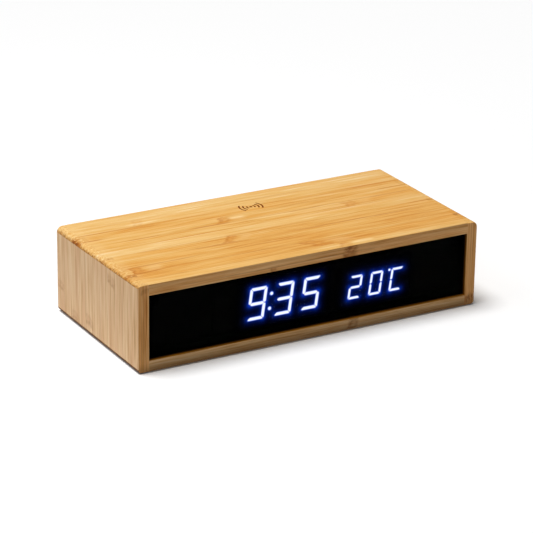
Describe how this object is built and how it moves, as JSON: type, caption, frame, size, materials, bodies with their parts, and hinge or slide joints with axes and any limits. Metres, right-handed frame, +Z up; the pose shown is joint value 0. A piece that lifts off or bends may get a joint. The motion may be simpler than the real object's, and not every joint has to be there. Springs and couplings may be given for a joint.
{
  "type": "wireless charging alarm clock",
  "caption": "Bamboo box alarm clock with a lit digit display behind a dark front panel, a charging coil under its top board, and keys, a charging inlet and a coin cell door in its rear panel.",
  "frame": {"origin": "on the table, below the middle of the case", "axes": "+X to the right as seen from the front, +Y to the back, +Z up"},
  "size_m": [0.19, 0.09, 0.045],
  "materials": {
    "bamboo": "oiled bamboo, fine sanded, in glued strips",
    "glue_block": "plain sawn hardwood",
    "foot_rubber": "matt self-adhesive rubber",
    "smoked_acrylic": "polished dark smoked acrylic",
    "black_tape": "foam tape",
    "black_abs": "black moulded plastic with a fine grain",
    "lit_resin": "diffusing resin, lit from behind",
    "dark_resin": "diffusing resin, not lit",
    "chip_ceramic": "matt ceramic",
    "circuit_board": "green solder mask",
    "chip_epoxy": "black moulding compound",
    "screw_steel": "zinc plated steel",
    "ribbon_film": "flat flexible cable",
    "socket_plastic": "ivory moulded plastic",
    "key_plastic": "black moulded plastic, satin",
    "door_plastic": "black moulded plastic, satin",
    "plunger_plastic": "brown moulded plastic",
    "can_metal": "bright nickel plating",
    "capacitor_sleeve": "dark blue sleeve",
    "copper_wire": "enamelled copper",
    "ferrite": "dark sintered ferrite",
    "white_abs": "white moulded plastic",
    "lead_insulation": "red insulated wire"
  },
  "bodies": {
    "case": {"top_board": "bamboo", "bottom_board": "bamboo", "left_side": "bamboo", "right_side": "bamboo", "case_dowels": "glue_block", "left_front_post": "glue_block", "right_front_post": "glue_block", "left_rear_post": "glue_block", "right_rear_post": "glue_block", "feet": "foot_rubber", "front_panel": "smoked_acrylic", "panel_tape": "black_tape", "display_frame": "black_abs", "frame_screws": "screw_steel", "reflector": "black_abs", "lit_segments": "lit_resin", "unlit_segments": "dark_resin", "segment_leds": "chip_ceramic", "display_pcb": "circuit_board", "display_driver": "chip_epoxy", "display_screws": "screw_steel", "display_ribbon": "ribbon_film", "ribbon_sockets": "socket_plastic", "rear_panel": "black_abs", "rear_screws": "screw_steel", "main_pcb": "circuit_board", "main_pcb_screws": "screw_steel", "switch_bodies": "chip_epoxy", "main_chip": "chip_epoxy", "clock_crystal": "can_metal", "buzzer": "chip_epoxy", "capacitors": "capacitor_sleeve", "temperature_sensor": "chip_epoxy", "cell_holder": "black_abs", "coin_cell": "can_metal", "cell_contact": "can_metal", "usb_shell": "can_metal", "usb_tongue": "chip_epoxy", "charging_coil": "copper_wire", "ferrite_disc": "ferrite", "coil_carrier": "white_abs", "carrier_screws": "screw_steel", "coil_leads": "copper_wire", "charger_pcb": "circuit_board", "charger_spacers": "white_abs", "charger_screws": "screw_steel", "charger_chip": "chip_epoxy", "charger_capacitors": "chip_ceramic", "power_sockets": "socket_plastic", "power_leads": "lead_insulation"},
    "set_button": {"set_key": "key_plastic", "set_plunger": "plunger_plastic"},
    "down_button": {"down_key": "key_plastic", "down_plunger": "plunger_plastic"},
    "up_button": {"up_key": "key_plastic", "up_plunger": "plunger_plastic"},
    "alarm_button": {"alarm_key": "key_plastic", "alarm_plunger": "plunger_plastic"},
    "cell_door": {"battery_door": "door_plastic"}
  },
  "joints": [
    {"name": "set_press", "type": "slide", "parent": "case", "child": "set_button", "axis": [0, -1, 0], "range_m": [0, 0.0005], "stiffness_N_per_m": 3000, "springref_m": -0.0003},
    {"name": "down_press", "type": "slide", "parent": "case", "child": "down_button", "axis": [0, -1, 0], "range_m": [0, 0.0005], "stiffness_N_per_m": 3000, "springref_m": -0.0003},
    {"name": "up_press", "type": "slide", "parent": "case", "child": "up_button", "axis": [0, -1, 0], "range_m": [0, 0.0005], "stiffness_N_per_m": 3000, "springref_m": -0.0003},
    {"name": "alarm_press", "type": "slide", "parent": "case", "child": "alarm_button", "axis": [0, -1, 0], "range_m": [0, 0.0005], "stiffness_N_per_m": 3000, "springref_m": -0.0003},
    {"name": "cell_door_turn", "type": "hinge", "parent": "case", "child": "cell_door", "pos_m": [0.05, 0.0418, 0.02275], "axis": [0, 1, 0], "range_deg": [0, 50]}
  ]
}
